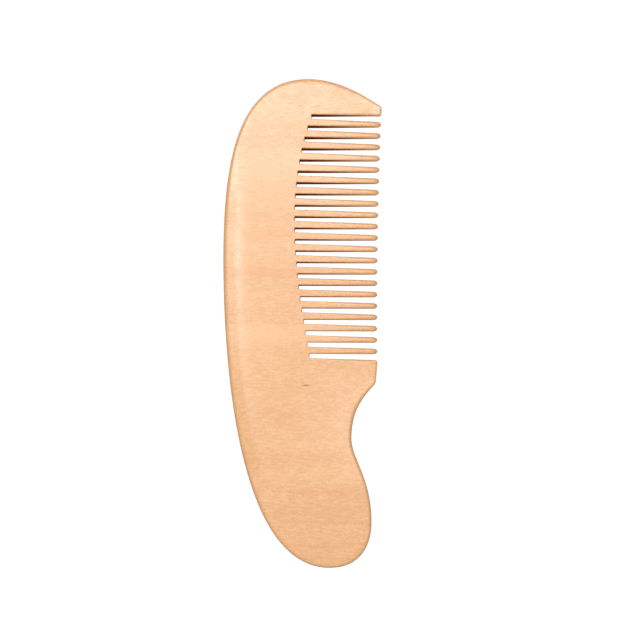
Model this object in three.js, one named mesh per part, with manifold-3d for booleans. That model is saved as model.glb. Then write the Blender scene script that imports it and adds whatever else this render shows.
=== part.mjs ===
// A wooden hair comb with a curved grip, in millimetres.
//
// The comb is sawn from one board. It lies flat: Z is the board's thickness, Y runs from the
// end of the grip to the head, and the teeth point along +X. The origin is under the middle of
// the comb, on the surface that it lies on. The grain of the wood runs along X, so that no
// tooth is cut across it.
//
// The whole comb is shaped first: its silhouette, the wedge that thins it towards the tips and
// the saw cuts between the teeth. It is then parted, on planes, into the back, the grip, the
// two guards at the ends of the row and the teeth, which meet face to face.

import * as THREE from 'three';
import { mergeVertices } from 'three/addons/utils/BufferGeometryUtils.js';
import Module from 'manifold-3d';

// Driving dimensions of the board.
const LENGTH = 155; // grip end to head
const WIDTH = 49.6; // spine to tooth tips
const THICKNESS = 9; // back and grip, between their two flat faces
const TIP_THICKNESS = 2.2; // at the tips of the teeth
const EDGE_ROUNDING = 1.2; // round-over of the outer edge
const FACET_WIDTH = 4.8; // sloping facet along the spine, on both faces
const FACET_DROP = 1.3; // how far the facet falls over that width

// Driving dimensions of the row of teeth.
const TOOTH_COUNT = 21;
const PITCH = 3.62; // tooth to tooth
const FIRST_SLOT_Y = 65.4; // centre of the saw cut under the head guard
const SLOT_ROOT_WIDTH = 1.46; // saw cut at the foot of the teeth
const SLOT_MOUTH_WIDTH = 1.86; // saw cut where the tips begin to round
const TIP_ROUNDING = 1.3; // length over which a tip rounds off
const GUARD_CORNER = 0.8; // rounded inner corner of the two guards
const TIP_LINE_HOLLOW = 0.5; // the tips lie on a slightly hollow line
const FOOT_OFFSET = 0.3; // a tooth is parted from the back just past the feet of its saw cuts

// The wedge starts in the back, a little before the teeth, and fades out below the heel guard.
const WEDGE_START_X = -9;
const WEDGE_FULL_X = -3;
const WEDGE_END_Y = -52;
const WEDGE_FULL_Y = -12;

// Below this line the comb is the grip.
const GRIP_LINE_Y = -24;

const HALF_LENGTH = LENGTH / 2;
const HALF_WIDTH = WIDTH / 2;
const SLOT_COUNT = TOOTH_COUNT + 1;
const OVERCUT = 2; // how far a cutting solid reaches past the wood

const CURVE_STEPS = 16; // straight steps in each curved span of the silhouette
const ROUNDING_STEPS = 3;
const TIP_STEPS = 6;

const WOOD_COLOUR = 0xf2cb9e;
const WOOD_ROUGHNESS = 0.55;

const { Manifold, Mesh: SolidMesh } = await loadSolidLibrary();

async function loadSolidLibrary() {
  const library = await Module();
  library.setup();
  return library;
}

function toSolid(geometry) {
  const bare = geometry.clone();
  bare.deleteAttribute('normal');
  bare.deleteAttribute('uv');
  const merged = mergeVertices(bare, 1e-4);
  return new Manifold(new SolidMesh({
    numProp: 3,
    vertProperties: new Float32Array(merged.attributes.position.array),
    triVerts: new Uint32Array(merged.index.array),
  }));
}

function toGeometry(solid) {
  const mesh = solid.getMesh();
  const geometry = new THREE.BufferGeometry();
  geometry.setAttribute('position', new THREE.BufferAttribute(mesh.vertProperties, 3));
  geometry.setIndex(new THREE.BufferAttribute(mesh.triVerts, 1));
  geometry.computeVertexNormals();
  return geometry;
}

function boxBetween(low, high) {
  const size = new THREE.Vector3().subVectors(high, low);
  const box = new THREE.BoxGeometry(size.x, size.y, size.z);
  const centre = new THREE.Vector3().addVectors(low, high).multiplyScalar(0.5);
  return toSolid(box.translate(centre.x, centre.y, centre.z));
}

// A region of the plan, as a solid that reaches past the board above and below.
function planRegion(lowX, highX, lowY, highY) {
  return boxBetween(
    new THREE.Vector3(lowX, lowY, -OVERCUT),
    new THREE.Vector3(highX, highY, THICKNESS + OVERCUT),
  );
}

// The silhouette: head, spine, grip end, grip, finger notch and heel, then back up the tips.
function silhouette() {
  const outline = new THREE.Shape();
  outline.moveTo(HALF_WIDTH, 69.3);
  outline.bezierCurveTo(20.9, 71.4, 12.6, HALF_LENGTH, 2.2, HALF_LENGTH);
  outline.bezierCurveTo(-20.6, HALF_LENGTH, -HALF_WIDTH, 52.4, -HALF_WIDTH, 25);
  outline.bezierCurveTo(-HALF_WIDTH, 6.8, -22.8, -HALF_LENGTH, 10.4, -HALF_LENGTH);
  outline.bezierCurveTo(20.6, -HALF_LENGTH, 23.7, -69.9, 23.7, -63.5);
  outline.bezierCurveTo(23.7, -48.8, 16.9, -43, 16.9, -36.2);
  outline.bezierCurveTo(16.9, -27, 20.8, -22.9, HALF_WIDTH, -18.5);
  outline.closePath();
  return outline;
}

// The line that the facet follows. It keeps to the spine beside the teeth, and runs out of the
// wood towards the head and the grip, where the facet narrows and ends.
function facetLine() {
  const farX = HALF_WIDTH + OVERCUT + FACET_WIDTH;
  const farY = HALF_LENGTH + OVERCUT + FACET_WIDTH;
  const outline = new THREE.Shape();
  outline.moveTo(farX, farY);
  outline.lineTo(-22, farY);
  outline.bezierCurveTo(-22.4, 70, -25.5, 45, -25.5, 27);
  outline.bezierCurveTo(-25.5, 5, -22.4, -24, -18, -45);
  outline.lineTo(-17.2, -farY);
  outline.lineTo(farX, -farY);
  outline.closePath();
  return outline;
}

// A plate as thick as the board, whose outline is eased on both faces by `width` and `drop`.
function easedPlate(outline, width, drop, steps) {
  const geometry = new THREE.ExtrudeGeometry(outline, {
    depth: THICKNESS - 2 * drop,
    curveSegments: CURVE_STEPS,
    bevelThickness: drop,
    bevelSize: width,
    bevelOffset: -width,
    bevelSegments: steps,
  });
  return toSolid(geometry.translate(0, 0, drop));
}

function board() {
  const rounded = easedPlate(silhouette(), EDGE_ROUNDING, EDGE_ROUNDING, ROUNDING_STEPS);
  return rounded.intersect(easedPlate(facetLine(), FACET_WIDTH, FACET_DROP, 1));
}

// How far the wedge has run at x: nothing in the back, then easing into a straight slope.
function wedgeRun(x) {
  const easing = WEDGE_FULL_X - WEDGE_START_X;
  const inEasing = THREE.MathUtils.clamp(x - WEDGE_START_X, 0, easing);
  return (inEasing * inEasing) / (2 * easing) + Math.max(0, x - WEDGE_FULL_X);
}

function thicknessAt(x, y) {
  const loss = (THICKNESS - TIP_THICKNESS) * (wedgeRun(x) / wedgeRun(HALF_WIDTH));
  return THICKNESS - loss * THREE.MathUtils.smoothstep(y, WEDGE_END_Y, WEDGE_FULL_Y);
}

function evenly(from, to, steps) {
  return Array.from({ length: steps + 1 }, (_, i) => THREE.MathUtils.lerp(from, to, i / steps));
}

// The space between the comb's two faces. It has steps only where the faces curve.
function wedge() {
  const xs = [-HALF_WIDTH - OVERCUT, ...evenly(WEDGE_START_X, WEDGE_FULL_X, 4), HALF_WIDTH + OVERCUT];
  const ys = [-HALF_LENGTH - OVERCUT, ...evenly(WEDGE_END_Y, WEDGE_FULL_Y, 8), HALF_LENGTH + OVERCUT];
  const columns = xs.length - 1;
  const rows = ys.length - 1;
  const grid = new THREE.BoxGeometry(columns, rows, 1, columns, rows, 1);
  const position = grid.attributes.position;
  for (let i = 0; i < position.count; i += 1) {
    const x = xs[Math.round(position.getX(i) + columns / 2)];
    const y = ys[Math.round(position.getY(i) + rows / 2)];
    position.setXYZ(i, x, y, THICKNESS / 2 + position.getZ(i) * thicknessAt(x, y));
  }
  return toSolid(grid);
}

function slotY(index) {
  return FIRST_SLOT_Y - PITCH * index;
}

// The feet of the saw cuts lie on a shallow curve that follows the spine.
function slotRootX(index) {
  const u = 1 - (2 * index) / (SLOT_COUNT - 1);
  return -2.2 - 1.85 * u + 5 * u * u + 1.5 * u * u * u;
}

function tipX(y) {
  const rowMiddleY = (slotY(0) + slotY(SLOT_COUNT - 1)) / 2;
  const u = (y - rowMiddleY) / ((SLOT_COUNT * PITCH) / 2);
  return HALF_WIDTH - TIP_LINE_HOLLOW * (1 - u * u);
}

// One side of a saw cut, from its foot to its mouth. Beside a tooth it opens along the
// tooth's rounded tip, and beside a guard it opens round the guard's small corner.
function openSlotSide(outline, index, side) {
  const centreY = slotY(index);
  const besideTooth = side > 0 ? index > 0 : index < SLOT_COUNT - 1;
  const neighbourY = centreY + (side * PITCH) / 2;
  const wallY = centreY + (side * SLOT_MOUTH_WIDTH) / 2;
  const length = besideTooth ? TIP_ROUNDING : GUARD_CORNER;
  const width = besideTooth ? Math.abs(neighbourY - wallY) : GUARD_CORNER;
  const endX = besideTooth ? tipX(neighbourY) : HALF_WIDTH;
  const quarter = Math.PI / 2;
  const ovalY = wallY + side * width;
  const points = new THREE.EllipseCurve(
    endX - length, ovalY, length, width, -side * quarter, 0, side < 0,
  ).getPoints(TIP_STEPS);
  points.push(new THREE.Vector2(HALF_WIDTH + OVERCUT, ovalY));
  if (side > 0) points.reverse();
  points.forEach((point) => outline.lineTo(point.x, point.y));
}

function slot(index) {
  const outline = new THREE.Shape();
  const rootX = slotRootX(index);
  outline.moveTo(rootX, slotY(index) + SLOT_ROOT_WIDTH / 2);
  outline.lineTo(rootX, slotY(index) - SLOT_ROOT_WIDTH / 2);
  openSlotSide(outline, index, -1);
  openSlotSide(outline, index, 1);
  outline.closePath();
  const depth = THICKNESS + 2 * OVERCUT;
  const geometry = new THREE.ExtrudeGeometry(outline, { depth, bevelEnabled: false });
  return toSolid(geometry.translate(0, 0, -OVERCUT));
}

function wholeComb() {
  const slots = Array.from({ length: SLOT_COUNT }, (_, index) => slot(index));
  return board().intersect(wedge()).subtract(Manifold.union(slots));
}

function addPiece(group, name, solid) {
  const wood = new THREE.MeshStandardMaterial({
    color: WOOD_COLOUR,
    roughness: WOOD_ROUGHNESS,
    metalness: 0,
  });
  const piece = new THREE.Mesh(toGeometry(solid), wood);
  piece.name = name;
  group.add(piece);
}

// Where the wood between two saw cuts is parted from the back: both cuts are open there.
function footX(slotAbove, slotBelow) {
  return Math.max(slotRootX(slotAbove), slotRootX(slotBelow)) + FOOT_OFFSET;
}

// Parts the comb on planes into the back, the grip, the two guards and the teeth.
function makeComb() {
  const pastTips = HALF_WIDTH + OVERCUT;
  const pastHead = HALF_LENGTH + OVERCUT;
  const lastSlot = SLOT_COUNT - 1;
  const regions = {
    head_guard: planRegion(footX(0, 0), pastTips, slotY(0), pastHead),
    heel_guard: planRegion(footX(lastSlot, lastSlot), pastTips, GRIP_LINE_Y, slotY(lastSlot)),
    handle: planRegion(-pastTips, pastTips, -pastHead, GRIP_LINE_Y),
  };
  for (let tooth = 1; tooth <= TOOTH_COUNT; tooth += 1) {
    const name = `tooth_${String(tooth).padStart(2, '0')}`;
    const startX = footX(tooth - 1, tooth);
    regions[name] = planRegion(startX, pastTips, slotY(tooth), slotY(tooth - 1));
  }

  const comb = new THREE.Group();
  const wood = wholeComb();
  addPiece(comb, 'back', wood.subtract(Manifold.union(Object.values(regions))));
  for (const [name, region] of Object.entries(regions)) {
    addPiece(comb, name, wood.intersect(region));
  }
  return comb;
}

export default makeComb();
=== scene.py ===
"""A wooden hair comb with a curved grip: its surface, its wood, its light and its camera.

The comb is one piece of wood, so one mesh stands for all the CAD regions. It is worked out in
millimetres in the CAD frame: X from the spine to the tips of the teeth, Y from the grip to the
head, Z through the thickness. Both faces are the same surface, mirrored about the middle.
"""

import math

import bpy
import numpy as np
from mathutils import Matrix, Vector
from mathutils.geometry import delaunay_2d_cdt


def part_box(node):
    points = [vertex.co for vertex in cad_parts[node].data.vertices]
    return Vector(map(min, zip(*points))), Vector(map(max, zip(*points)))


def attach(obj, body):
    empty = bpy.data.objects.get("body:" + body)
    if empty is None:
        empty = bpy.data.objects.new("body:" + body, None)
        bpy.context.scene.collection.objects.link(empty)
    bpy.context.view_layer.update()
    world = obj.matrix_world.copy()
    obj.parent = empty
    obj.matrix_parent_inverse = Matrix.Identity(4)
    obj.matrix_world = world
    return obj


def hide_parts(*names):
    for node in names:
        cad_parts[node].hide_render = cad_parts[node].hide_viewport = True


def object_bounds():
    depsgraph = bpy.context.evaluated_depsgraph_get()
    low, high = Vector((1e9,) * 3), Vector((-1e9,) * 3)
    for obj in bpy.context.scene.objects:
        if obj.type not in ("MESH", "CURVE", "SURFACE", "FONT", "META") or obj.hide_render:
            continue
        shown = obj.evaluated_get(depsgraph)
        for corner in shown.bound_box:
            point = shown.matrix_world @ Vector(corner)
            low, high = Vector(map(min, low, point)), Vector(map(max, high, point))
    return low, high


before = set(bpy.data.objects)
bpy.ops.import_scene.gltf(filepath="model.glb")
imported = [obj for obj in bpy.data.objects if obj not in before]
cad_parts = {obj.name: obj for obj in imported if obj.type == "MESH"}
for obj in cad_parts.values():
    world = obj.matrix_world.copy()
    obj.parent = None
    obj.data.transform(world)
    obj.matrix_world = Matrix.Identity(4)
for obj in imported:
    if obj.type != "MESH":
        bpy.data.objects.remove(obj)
cad_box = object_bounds()

MM = 0.001

# The comb's size, from the frame.
HALF_WIDTH = (cad_box[1][0] - cad_box[0][0]) / 2 / MM
HALF_LENGTH = (cad_box[1][1] - cad_box[0][1]) / 2 / MM
THICKNESS = (cad_box[1][2] - cad_box[0][2]) / MM
TEETH = sorted(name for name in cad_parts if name.startswith("tooth_"))
SLOT_COUNT = len(TEETH) + 1


def tooth_line(name):
    """The Y of a tooth's centre line."""
    low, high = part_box(name)
    return (low[1] + high[1]) / 2 / MM


PITCH = (tooth_line(TEETH[0]) - tooth_line(TEETH[-1])) / (len(TEETH) - 1)
FIRST_SLOT_Y = tooth_line(TEETH[0]) + PITCH / 2
TIP_THICKNESS = 2.2

# The saw cuts between the teeth, as in the CAD part.
SLOT_ROOT_WIDTH = 1.46
SLOT_MOUTH_WIDTH = 1.86
TIP_ROUNDING = 1.3
GUARD_CORNER = 0.8
TIP_LINE_HOLLOW = 0.5
SLOT_CORNER = 0.3  # eased inner corners at the foot of a saw cut
OUTER_CORNER = 0.8  # eased outer corners of the two guards
CORNER_TURN = math.radians(28)  # an outline point that turns more than this is a corner
CORNER_STEPS = 6
ROW_START_X = -4.0  # the feet of the saw cuts all lie beyond this

# The wedge that thins the comb towards the tips, as in the CAD part.
WEDGE_START_X = -9.0
WEDGE_FULL_X = -3.0
WEDGE_END_Y = -52.0
WEDGE_FULL_Y = -12.0

# How the sanded edges round over.
OUTER_ROUNDING = 1.1
TOOTH_ROUNDING = 0.75
SLOT_FOOT_ROUNDING = 0.25
FOOT_X, TIP_X = 4.0, 23.0  # tooth edges round more, and carry less painted shade in their saw cuts, from foot to tip
EDGE_SHARE = 0.42  # the outer rounding takes at most this share of half the thickness
MOST_SHARE = 0.92  # and no rounding takes more than this
TIP_NOSE = 1.9  # length over which a tip thins to its end, seen from the side
LEAST_HALF_THICKNESS = 0.03

# The broad facet along the spine: a slope with a soft crest, and a crown that bends beside it.
FACET_WIDTH = 4.4
FACET_SLOPE = 0.08
CREST_SOFTNESS = 0.5
CROWN_WIDTH = 4.5
CROWN_SLOPE = 0.13
FACET_AT_HEAD = (70.0, 28.0)  # it grows from nothing to full between these two Y
FACET_AT_GRIP = (-74.0, -44.0)

# How the mesh is divided.
CURVE_SPACING = 0.8
WALL_SPACING = 1.2
TIP_STEPS = 14
GUARD_STEPS = 6
ROUNDING_RINGS = 6
FACET_RING_SPACING = 0.55
FACE_GRID = (1.6, 1.9)
BLOCK = 1500


def smoothstep(low, high, value):
    t = np.clip((value - low) / (high - low), 0.0, 1.0)
    return t * t * (3 - 2 * t)


# ---------------------------------------------------------------- plan of the comb


def bezier(a, b, c, d):
    """Points along a cubic curve, without the last one."""
    a, b, c, d = (np.array(p, float) for p in (a, b, c, d))
    length = np.linalg.norm(b - a) + np.linalg.norm(c - b) + np.linalg.norm(d - c)
    t = np.linspace(0, 1, int(length / CURVE_SPACING) + 2)[:-1, None]
    return (1 - t) ** 3 * a + 3 * (1 - t) ** 2 * t * b + 3 * (1 - t) * t**2 * c + t**3 * d


def straight(a, b):
    """Points from a towards b, without b."""
    a, b = np.array(a, float), np.array(b, float)
    t = np.linspace(0, 1, int(np.linalg.norm(b - a) / WALL_SPACING) + 2)[:-1, None]
    return a + (b - a) * t


def silhouette():
    """From the tip of the head guard round the head, spine and grip to the heel guard."""
    w, h = HALF_WIDTH, HALF_LENGTH
    spans = [
        ((w, 69.3), (20.9, 71.4), (12.6, h), (2.2, h)),
        ((2.2, h), (-20.6, h), (-w, 52.4), (-w, 25)),
        ((-w, 25), (-w, 6.8), (-22.8, -h), (10.4, -h)),
        ((10.4, -h), (20.6, -h), (23.7, -69.9), (23.7, -63.5)),
        ((23.7, -63.5), (23.7, -48.8), (16.9, -43), (16.9, -36.2)),
        ((16.9, -36.2), (16.9, -27), (20.8, -22.9), (w, -18.5)),
    ]
    return np.concatenate([bezier(*span) for span in spans])


def slot_y(index):
    return FIRST_SLOT_Y - PITCH * index


def slot_root_x(index):
    """The feet of the saw cuts lie on a shallow curve that follows the spine."""
    u = 1 - 2 * index / (SLOT_COUNT - 1)
    return -2.2 - 1.85 * u + 5 * u * u + 1.5 * u**3


def tip_x(y):
    """The tips lie on a slightly hollow line."""
    middle = (slot_y(0) + slot_y(SLOT_COUNT - 1)) / 2
    u = (y - middle) / (SLOT_COUNT * PITCH / 2)
    return HALF_WIDTH - TIP_LINE_HOLLOW * (1 - u * u)


def slot_side(index, side):
    """One wall of a saw cut, from its foot out to the middle of the neighbouring tip."""
    centre = slot_y(index)
    beside_tooth = index > 0 if side > 0 else index < SLOT_COUNT - 1
    wall_y = centre + side * SLOT_MOUTH_WIDTH / 2
    if beside_tooth:
        width = PITCH / 2 - SLOT_MOUTH_WIDTH / 2
        length, end_x = TIP_ROUNDING, tip_x(centre + side * PITCH / 2)
    else:
        width, length, end_x = GUARD_CORNER, GUARD_CORNER, HALF_WIDTH
    foot = (slot_root_x(index), centre + side * SLOT_ROOT_WIDTH / 2)
    mouth = (end_x - length, wall_y)
    angle = np.linspace(0, math.pi / 2, (TIP_STEPS if beside_tooth else GUARD_STEPS) + 1)
    arc = np.stack(
        [mouth[0] + length * np.sin(angle), wall_y + side * width * (1 - np.cos(angle))], axis=1
    )
    return np.concatenate([straight(foot, mouth), arc])


def slots():
    """The saw cuts in turn from the heel to the head, each as wall, foot and wall."""
    parts = []
    for index in reversed(range(SLOT_COUNT)):
        lower, upper = slot_side(index, -1), slot_side(index, 1)
        parts.append(lower[::-1][1:] if index < SLOT_COUNT - 1 else lower[::-1])
        parts.append(upper)
    return np.concatenate(parts)


def round_corners(points, reach):
    """Replaces every sharp corner of the closed outline by a curve of about that reach."""
    ahead = np.roll(points, -1, axis=0) - points
    behind = points - np.roll(points, 1, axis=0)
    turn = np.arctan2(
        behind[:, 0] * ahead[:, 1] - behind[:, 1] * ahead[:, 0], (behind * ahead).sum(axis=1)
    )
    out = []
    count = len(points)
    corners = [i for i in range(count) if abs(turn[i]) > CORNER_TURN]
    reaches = {i: reach(points[i]) for i in corners}
    for i in range(count):
        if i not in reaches:
            gaps = [(np.linalg.norm(points[i] - points[c]), reaches[c]) for c in corners]
            if all(gap >= reach_there for gap, reach_there in gaps):
                out.append(points[i])
            continue
        back = behind[i] / np.linalg.norm(behind[i])
        front = ahead[i] / np.linalg.norm(ahead[i])
        start, end = points[i] - back * reaches[i], points[i] + front * reaches[i]
        for t in np.linspace(0, 1, CORNER_STEPS + 1):
            out.append((1 - t) ** 2 * start + 2 * (1 - t) * t * points[i] + t**2 * end)
    return np.array(out)


def corner_reach(point):
    """The outer corners of the two guards are eased more than the feet of the saw cuts."""
    return OUTER_CORNER if point[0] > HALF_WIDTH - 0.5 else SLOT_CORNER


def plan():
    """The comb's closed outline, seen from above."""
    outline = np.concatenate([silhouette(), slots()])
    return round_corners(outline, corner_reach)


# ---------------------------------------------------------------- height of the surface


def wedge_run(x):
    """How far the wedge has run at x: nothing in the back, then easing into a straight slope."""
    easing = WEDGE_FULL_X - WEDGE_START_X
    inside = np.clip(x - WEDGE_START_X, 0, easing)
    return inside**2 / (2 * easing) + np.maximum(0, x - WEDGE_FULL_X)


def half_thickness(x, y):
    """Half the thickness between the two faces, before any edge is rounded."""
    loss = (THICKNESS - TIP_THICKNESS) * wedge_run(x) / wedge_run(HALF_WIDTH)
    return (THICKNESS - loss * smoothstep(WEDGE_END_Y, WEDGE_FULL_Y, y)) / 2


def in_row(x, y):
    """True beside the teeth, where the saw cuts are."""
    low, high = slot_y(SLOT_COUNT - 1) - PITCH / 4, slot_y(0) + PITCH / 4
    return (y < high) & (y > low) & (x > ROW_START_X)


def tip_nose(x, y):
    """How much of the thickness is left near a tip: 1, falling as a quarter ellipse to 0."""
    run = np.clip((x - (tip_x(y) - TIP_NOSE)) / TIP_NOSE, 0, 1)
    return np.where(in_row(x, y), np.sqrt(np.maximum(1 - run**2, 0)), 1.0)


def facet_weight(y):
    """The spine's facet is full along the back and dies out towards the head and the grip."""
    return smoothstep(*FACET_AT_HEAD, y) * smoothstep(*FACET_AT_GRIP, y)


def edge_loss(x, y, distance, edge_x, edge_y):
    """How far the surface has fallen, at a distance from the nearest point of the edge."""
    spine = (edge_x < 0) & ~in_row(edge_x, edge_y)
    weight = np.where(spine, facet_weight(edge_y), 0.0)
    width = FACET_WIDTH * np.sqrt(weight)
    into_facet = np.clip(width - distance, 0, None)
    crest = np.minimum(into_facet, CREST_SOFTNESS)
    facet = crest**2 / (2 * CREST_SOFTNESS) + np.maximum(0, into_facet - CREST_SOFTNESS)
    into_crown = np.clip(width + CROWN_WIDTH - distance, 0, None)
    bend = np.minimum(into_crown, CROWN_WIDTH)
    crown = bend**2 / (2 * CROWN_WIDTH) + (into_crown - bend)
    loss = weight * (FACET_SLOPE * facet + CROWN_SLOPE * crown)

    foot_to_tip = smoothstep(FOOT_X, TIP_X, edge_x)
    tooth = SLOT_FOOT_ROUNDING + (TOOTH_ROUNDING - SLOT_FOOT_ROUNDING) * foot_to_tip
    thin = half_thickness(x, y) * tip_nose(x, y)
    outer = np.minimum(OUTER_ROUNDING, EDGE_SHARE * thin)
    radius = np.minimum(np.where(in_row(edge_x, edge_y), tooth, outer), MOST_SHARE * thin)
    inside = np.clip(radius - distance, 0, None)
    return loss + radius - np.sqrt(np.maximum(radius**2 - inside**2, 0))


def surface(x, y, distance, edge_x, edge_y):
    """Half the comb's thickness at a point of the plan."""
    full = half_thickness(x, y) * tip_nose(x, y)
    return np.maximum(full - edge_loss(x, y, distance, edge_x, edge_y), LEAST_HALF_THICKNESS)


# ---------------------------------------------------------------- mesh


def nearest_on_edge(points, loop):
    """The distance to the closed outline and the nearest point on it, for each point.

    The points are taken in blocks, which keeps the tables of gaps small.
    """
    start, end = loop, np.roll(loop, -1, axis=0)
    run = end - start
    length = (run**2).sum(axis=1) + 1e-12
    distance = np.empty(len(points))
    nearest = np.empty((len(points), 2))
    for first in range(0, len(points), BLOCK):
        part = slice(first, first + BLOCK)
        block = points[part]
        offset = block[:, None, :] - start[None]
        t = np.clip((offset * run[None]).sum(axis=2) / length, 0, 1)
        gap = offset - t[..., None] * run[None]
        squared = (gap**2).sum(axis=2)
        best = squared.argmin(axis=1)
        rows = np.arange(len(block))
        distance[part] = np.sqrt(squared[rows, best])
        nearest[part] = block - gap[rows, best]
    return distance, nearest


def inside_loop(points, loop):
    """True for the points inside the closed outline, by counting crossings."""
    inside = np.zeros(len(points), bool)
    for a, b in zip(loop, np.roll(loop, -1, axis=0)):
        if a[1] == b[1]:
            continue
        crosses = (a[1] > points[:, 1]) != (b[1] > points[:, 1])
        crossing_x = a[0] + (points[:, 1] - a[1]) * (b[0] - a[0]) / (b[1] - a[1])
        inside ^= crosses & (points[:, 0] < crossing_x)
    return inside


def inset_rings(loop):
    """Which outline points are inset, and how far: close together where the edge rounds."""
    row = in_row(loop[:, 0], loop[:, 1])
    spine = (loop[:, 0] < 0) & ~row
    quarter = np.linspace(0, math.pi / 2, ROUNDING_RINGS + 1)[1:]
    rings = [(row, TOOTH_ROUNDING * (1 - math.cos(angle))) for angle in quarter]
    rings += [(~row, OUTER_ROUNDING * (1 - math.cos(angle))) for angle in quarter]
    inner = np.arange(OUTER_ROUNDING + 0.5, FACET_WIDTH + CROWN_WIDTH, FACET_RING_SPACING)
    return rings + [(spine, distance) for distance in inner]


def inset_points(loop):
    """The points of the inset rings, and the edges that join neighbours on one ring."""
    ahead = np.roll(loop, -1, axis=0) - np.roll(loop, 1, axis=0)
    normal = np.stack([-ahead[:, 1], ahead[:, 0]], axis=1)
    normal /= np.linalg.norm(normal, axis=1)[:, None]
    points, edges = [], []
    first = 0
    for chosen, distance in inset_rings(loop):
        ring = loop + normal * distance
        true, _ = nearest_on_edge(ring, loop)
        keep = chosen & inside_loop(ring, loop) & (true > 0.95 * distance - 0.002)
        number = first + np.cumsum(keep) - 1
        joined = keep & np.roll(keep, -1)
        edges += [(int(a), int(b)) for a, b in zip(number[joined], np.roll(number, -1)[joined])]
        points.append(ring[keep])
        first += int(keep.sum())
    return np.concatenate(points), edges


def grid_points(loop):
    """Points that fill the faces between the rings, and the middle line of each tooth."""
    step_x, step_y = FACE_GRID
    body = [(x, y) for x in np.arange(-24, 25, step_x) for y in np.arange(-77, 78, step_y)]
    stations = np.append(np.arange(4.0, 21.5, 1.2), np.arange(21.6, 24.8, 0.2))
    teeth = [(x, slot_y(k) - PITCH / 2) for k in range(SLOT_COUNT - 1) for x in stations]
    grid = np.array(body + teeth)
    gap, _ = nearest_on_edge(grid, loop)
    row = in_row(grid[:, 0], grid[:, 1])
    clear = np.where(row & (grid[:, 0] > 2), 0.2, 1.6)
    return grid[inside_loop(grid, loop) & (gap > clear)]


def divided_plan():
    """The plan as points and triangles, and the numbers of the points round its outline."""
    loop = plan()
    rings, ring_edges = inset_points(loop)
    points = np.concatenate([loop, rings, grid_points(loop)])
    edges = [(a + len(loop), b + len(loop)) for a, b in ring_edges]
    outline = [list(range(len(loop)))]
    result = delaunay_2d_cdt([Vector(p) for p in points], edges, outline, 1, 1e-6)
    flat = np.array([tuple(v) for v in result[0]])
    triangles = np.array(result[2])
    position = {}
    for new, olds in enumerate(result[3]):
        for old in olds:
            position[old] = new
    return loop, flat, triangles, [position[i] for i in range(len(loop))]


def comb_mesh():
    """The upper face, the same face mirrored below it, and the walls between the two."""
    loop, flat, triangles, rim = divided_plan()
    distance, edge = nearest_on_edge(flat, loop)
    height = surface(flat[:, 0], flat[:, 1], distance, edge[:, 0], edge[:, 1])
    middle = THICKNESS / 2
    top = np.column_stack([flat, middle + height])
    bottom = np.column_stack([flat, middle - height])
    count = len(flat)
    faces = [tuple(int(i) for i in t) for t in triangles]
    faces += [tuple(int(i) + count for i in t[::-1]) for t in triangles]
    for a, b in zip(rim, rim[1:] + rim[:1]):
        if a != b:
            faces.append((b, a, a + count, b + count))
    mesh = bpy.data.meshes.new("comb")
    mesh.from_pydata((np.concatenate([top, bottom]) * MM).tolist(), [], faces)
    mesh.validate()
    mesh.shade_smooth()

    # The walls of the saw cuts get painted shade: full at the foot of each cut, fading to 0.3 of
    # that towards the tips.
    wall = in_row(edge[:, 0], edge[:, 1]) & (distance < 0.02)
    sawn_and_shaded = wall * (1 - 0.7 * smoothstep(FOOT_X, TIP_X, flat[:, 0]))
    sawn_and_shaded = np.concatenate([sawn_and_shaded, sawn_and_shaded])
    normals = np.empty(6 * count)
    mesh.vertex_normals.foreach_get("vector", normals)
    end_grain = smoothstep(0.35, 0.9, np.abs(normals[::3])) * (1 - sawn_and_shaded)
    for name, values in (("saw_cut_and_shade", sawn_and_shaded), ("end_grain", end_grain)):
        mesh.attributes.new(name, "FLOAT", "POINT").data.foreach_set("value", values)
    mesh.update()
    return mesh


def make_comb():
    comb = bpy.data.objects.new("comb", comb_mesh())
    bpy.context.scene.collection.objects.link(comb)
    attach(comb, "root")
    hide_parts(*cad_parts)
    return comb


# ---------------------------------------------------------------- wood


class Shading:
    """A small helper that adds nodes to one material."""

    def __init__(self, name):
        self.material = bpy.data.materials.new(name)
        self.material.use_nodes = True
        self.tree = self.material.node_tree
        self.tree.nodes.clear()

    def node(self, kind, settings=None, **inputs):
        node = self.tree.nodes.new(kind)
        for key, value in (settings or {}).items():
            setattr(node, key, value)
        for key, value in inputs.items():
            self.set(node, key, value)
        return node

    def set(self, node, key, value):
        socket = node.inputs[key]
        if isinstance(value, bpy.types.NodeSocket):
            self.tree.links.new(value, socket)
        else:
            socket.default_value = value

    def math(self, operation, *values):
        node = self.tree.nodes.new("ShaderNodeMath")
        node.operation = operation
        for index, value in enumerate(values):
            self.set(node, index, value)
        return node.outputs[0]

    def ramp(self, value, stops):
        """A smooth step: stops are from low, from high, to low and to high."""
        node = self.tree.nodes.new("ShaderNodeMapRange")
        node.interpolation_type = "SMOOTHSTEP"
        low, high, to_low, to_high = stops
        for key, number in zip(range(5), (value, low, high, to_low, to_high)):
            self.set(node, key, number)
        return node.outputs[0]

    def noise(self, vector, scale, detail=2.0, roughness=0.5, stretch=(1, 1, 1)):
        mapping = self.node("ShaderNodeMapping", Vector=vector, Scale=stretch)
        noise = self.node(
            "ShaderNodeTexNoise", Vector=mapping.outputs[0], Scale=scale, Detail=detail,
            Roughness=roughness,
        )
        return noise.outputs["Fac"]

    def mix(self, factor, a, b):
        node = self.tree.nodes.new("ShaderNodeMix")
        node.data_type = "RGBA"
        self.set(node, 0, factor)
        self.set(node, 6, a)
        self.set(node, 7, b)
        return node.outputs[2]


def srgb(red, green, blue):
    """An 8-bit display colour as the linear colour that a node takes."""
    channels = []
    for value in (red, green, blue):
        c = value / 255
        channels.append(c / 12.92 if c <= 0.04045 else ((c + 0.055) / 1.055) ** 2.4)
    return (*channels, 1.0)


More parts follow.
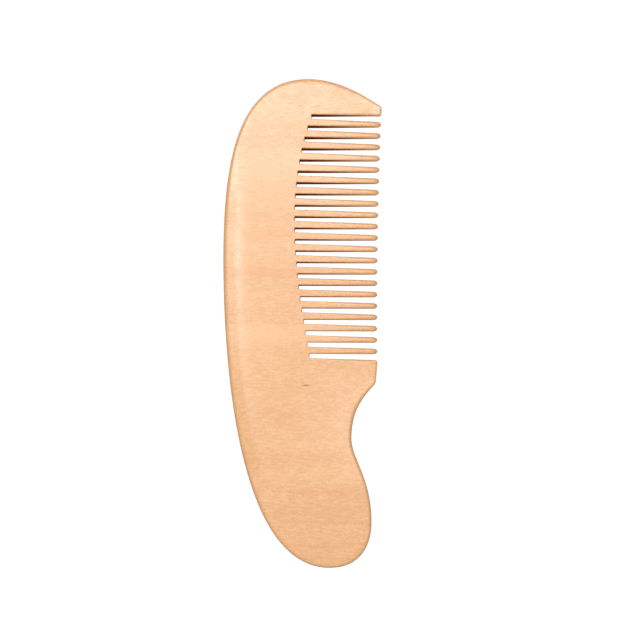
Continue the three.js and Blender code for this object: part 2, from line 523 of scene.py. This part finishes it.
# The colours of the wood, as its surface reflects them.
PALE_WOOD = srgb(215, 167, 121)
DEEP_WOOD = srgb(203, 150, 101)
# The brown of the pores and end-grain vessels, which also paints shade on the walls of the saw
# cuts.
PORE_AND_SLOT_SHADE_BROWN = srgb(186, 96, 38)
END_WOOD = srgb(198, 142, 92)
FLECK = srgb(148, 84, 44)
STREAK = srgb(205, 140, 88)

# Marks in this piece of wood: centre, half length and half width in mm, slope, strength.
FLECKS = [((2.2, -20.0), (1.7, 0.34), 0.03, 0.9), ((-6.5, 47.5), (0.9, 0.14), 0.0, 0.35)]
STREAKS = [
    ((-5.6, -28.9), (8.5, 1.0), -0.24, 0.4),
    ((6.0, -53.6), (16.0, 0.8), 0.02, 0.35),
    ((8.0, -63.1), (15.0, 0.6), -0.02, 0.4),
    ((9.0, -70.4), (12.0, 0.9), 0.02, 0.3),
    ((-12.0, 28.0), (13.0, 3.0), 0.03, 0.3),
    ((-11.0, 16.0), (14.0, 2.4), 0.01, 0.3),
]
LIGHT_ZONES = [((-8.0, -4.0), (30.0, 4.5), 0.02, 0.5), ((-6.0, 49.0), (30.0, 8.0), 0.0, 0.35)]


def marks(s, axes, places, side=None):
    """A mask of soft oval marks in the wood: 1 at the middle of a full-strength mark."""
    x, y = axes
    total = 0.0
    for (centre_x, centre_y), (half_length, half_width), slope, strength in places:
        from_x = s.math("SUBTRACT", x, centre_x)
        from_y = s.math("SUBTRACT", y, s.math("MULTIPLY_ADD", from_x, slope, centre_y))
        along = s.math("DIVIDE", from_x, half_length)
        across = s.math("DIVIDE", from_y, half_width)
        out = s.math("ADD", s.math("MULTIPLY", along, along), s.math("MULTIPLY", across, across))
        inside = s.ramp(out, (0.0, 1.0, strength, 0.0))
        total = s.math("ADD", total, inside)
    return total if side is None else s.math("MULTIPLY", total, side)


def wood_material():
    """Pale wood with its grain along X: bands, fibres, pores, marks, end grain, saw cuts, and
    painted shade on the walls of the saw cuts.
    """
    s = Shading("wood")
    place = s.node("ShaderNodeTexCoord").outputs["Object"]
    scaled = s.node("ShaderNodeVectorMath", {"operation": "SCALE"}, Vector=place, Scale=1 / MM)
    mm = scaled.outputs[0]
    split = s.node("ShaderNodeSeparateXYZ", Vector=mm)
    wander = s.noise(mm, 0.35, detail=2)
    wavy_y = s.math("ADD", split.outputs["Y"], s.math("MULTIPLY_ADD", wander, 1.6, -0.8))
    axes = (split.outputs["X"], wavy_y)
    upper_side = s.ramp(split.outputs["Z"], (THICKNESS / 2 - 1, THICKNESS / 2 + 1, 0.0, 1.0))

    bands = s.noise(mm, 1.0, detail=3, stretch=(0.012, 0.11, 0.11))
    fibres = s.noise(mm, 1.0, detail=3, roughness=0.6, stretch=(0.35, 2.2, 2.2))
    mottle = s.noise(mm, 1.9, detail=3, stretch=(0.7, 1.3, 1.3))
    pores = s.noise(mm, 1.0, detail=1, stretch=(0.7, 9.0, 9.0))

    tone = s.math("MULTIPLY_ADD", bands, 1.3, -0.15)
    tone = s.math("ADD", tone, s.math("MULTIPLY_ADD", fibres, 3.6, -1.8))
    tone = s.math("ADD", tone, s.math("MULTIPLY_ADD", mottle, 3.0, -1.5))
    tone = s.math("SUBTRACT", tone, marks(s, axes, LIGHT_ZONES))
    tone = s.node("ShaderNodeClamp", Value=tone).outputs[0]
    colour = s.mix(tone, PALE_WOOD, DEEP_WOOD)

    pore = s.ramp(pores, (0.66, 0.80, 0.0, 0.28))
    colour = s.mix(pore, colour, PORE_AND_SLOT_SHADE_BROWN)
    colour = s.mix(marks(s, axes, STREAKS), colour, STREAK)
    colour = s.mix(marks(s, (axes[0], split.outputs["Y"]), FLECKS, upper_side), colour, FLECK)

    vessels = s.ramp(s.noise(mm, 4.5, detail=2), (0.55, 0.75, 0.0, 0.5))
    end_grain = s.node("ShaderNodeAttribute", {"attribute_name": "end_grain"}).outputs["Fac"]
    end_colour = s.mix(vessels, END_WOOD, PORE_AND_SLOT_SHADE_BROWN)
    colour = s.mix(s.math("MULTIPLY", end_grain, 0.35), colour, end_colour)

    # The walls of the saw cuts are painted darker as shade, darkest at their feet. The same mask
    # makes them rougher and adds saw marks to their relief.
    cut = s.node("ShaderNodeAttribute", {"attribute_name": "saw_cut_and_shade"}).outputs["Fac"]
    colour = s.mix(cut, colour, PORE_AND_SLOT_SHADE_BROWN)
    blade = s.noise(mm, 1.0, detail=2, stretch=(4.0, 0.2, 0.5))

    rough = s.ramp(s.noise(mm, 0.25, detail=2), (0.3, 0.7, 0.25, 0.30))
    rough = s.math("ADD", rough, s.math("MULTIPLY", tone, 0.03))
    bare = s.math("MAXIMUM", s.math("MULTIPLY", cut, 0.5), s.math("MULTIPLY", end_grain, 0.15))
    rough = s.math("ADD", rough, bare)
    relief = s.math("ADD", s.math("MULTIPLY", fibres, 0.5), s.math("MULTIPLY", pore, -0.8))
    relief = s.math("ADD", relief, s.math("MULTIPLY", s.math("MULTIPLY", blade, cut), 3.0))
    bump = s.node("ShaderNodeBump", Strength=0.08, Distance=0.0001, Height=relief)

    shader = s.node("ShaderNodeBsdfPrincipled", Roughness=rough, Normal=bump.outputs[0])
    s.set(shader, "Base Color", colour)
    shader.inputs["IOR"].default_value = 1.5
    shader.inputs["Specular IOR Level"].default_value = 0.5
    s.node("ShaderNodeOutputMaterial", Surface=shader.outputs[0])
    return s.material


# ---------------------------------------------------------------- stage, light and camera


FLOOR_REACH = 6.0  # the stage is in metres
FLOOR_GAP = 0.0002
WORLD_STRENGTH = 0.50
SOFTBOXES = {  # place, size (across the comb, along it), power in watts
    "softbox_left": ((-0.30, 0.12, 0.80), (0.20, 0.20), 2.0),
    "softbox_head": ((0.02, 0.22, 0.80), (0.60, 0.13), 3.7),
    "softbox_over": ((0.0, -0.03, 0.80), (0.60, 0.17), 0.75),
}


def make_stage():
    """A floor that the camera sees as white, and that lights the comb only dimly."""
    mesh = bpy.data.meshes.new("floor")
    reach = FLOOR_REACH
    corners = [(-reach, -reach, 0), (reach, -reach, 0), (reach, reach, 0), (-reach, reach, 0)]
    mesh.from_pydata(corners, [], [(0, 1, 2, 3)])
    floor = bpy.data.objects.new("floor", mesh)
    floor.location.z = -FLOOR_GAP
    bpy.context.scene.collection.objects.link(floor)
    s = Shading("floor_white")
    seen = s.node("ShaderNodeLightPath").outputs["Is Camera Ray"]
    white = s.node("ShaderNodeEmission", Color=(1, 1, 1, 1), Strength=1.05)
    dull = s.node("ShaderNodeBsdfDiffuse", Color=(0.3, 0.3, 0.3, 1))
    both = s.tree.nodes.new("ShaderNodeMixShader")
    s.set(both, 0, seen)
    s.set(both, 1, dull.outputs[0])
    s.set(both, 2, white.outputs[0])
    s.node("ShaderNodeOutputMaterial", Surface=both.outputs[0])
    mesh.materials.append(s.material)


def area_light(name, place, size, power):
    """A softbox that faces the comb."""
    data = bpy.data.lights.new(name, "AREA")
    data.shape = "RECTANGLE"
    data.size, data.size_y = size
    data.energy = power
    light = bpy.data.objects.new(name, data)
    light.location = place
    aim = Vector((0, 0, 0.005)) - Vector(place)
    light.rotation_euler = aim.to_track_quat("-Z", "Y").to_euler()
    bpy.context.scene.collection.objects.link(light)


def make_light():
    for name, settings in SOFTBOXES.items():
        area_light(name, *settings)
    world = bpy.data.worlds.new("studio")
    world.use_nodes = True
    background = world.node_tree.nodes["Background"]
    background.inputs["Color"].default_value = (1, 1, 1, 1)
    background.inputs["Strength"].default_value = WORLD_STRENGTH
    bpy.context.scene.world = world


CAMERA_DISTANCE = 0.706
CAMERA_TILT = math.radians(1.7)  # the camera stands a little towards the grip
CAMERA_TURN = math.radians(1.0)  # and the comb leans clockwise in the picture
CAMERA_TARGET = Vector((6.3, 0.9, 4.5)) * MM
LENS = 124.65


def make_camera():
    data = bpy.data.cameras.new("camera")
    data.lens = LENS
    data.sensor_width = 36
    data.clip_start = 0.01
    camera = bpy.data.objects.new("camera", data)
    up = Vector((-math.sin(CAMERA_TURN), math.cos(CAMERA_TURN), 0))
    back = Vector((0, 0, 1)) * math.cos(CAMERA_TILT) - up * math.sin(CAMERA_TILT)
    right = up.cross(back).normalized()
    upright = back.cross(right)
    turn = Matrix((right, upright, back)).transposed().to_4x4()
    turn.translation = CAMERA_TARGET + back * CAMERA_DISTANCE
    camera.matrix_world = turn
    bpy.context.scene.collection.objects.link(camera)
    bpy.context.scene.camera = camera


make_camera()
make_stage()
make_light()
make_comb().data.materials.append(wood_material())
bpy.context.scene.view_settings.view_transform = "Standard"
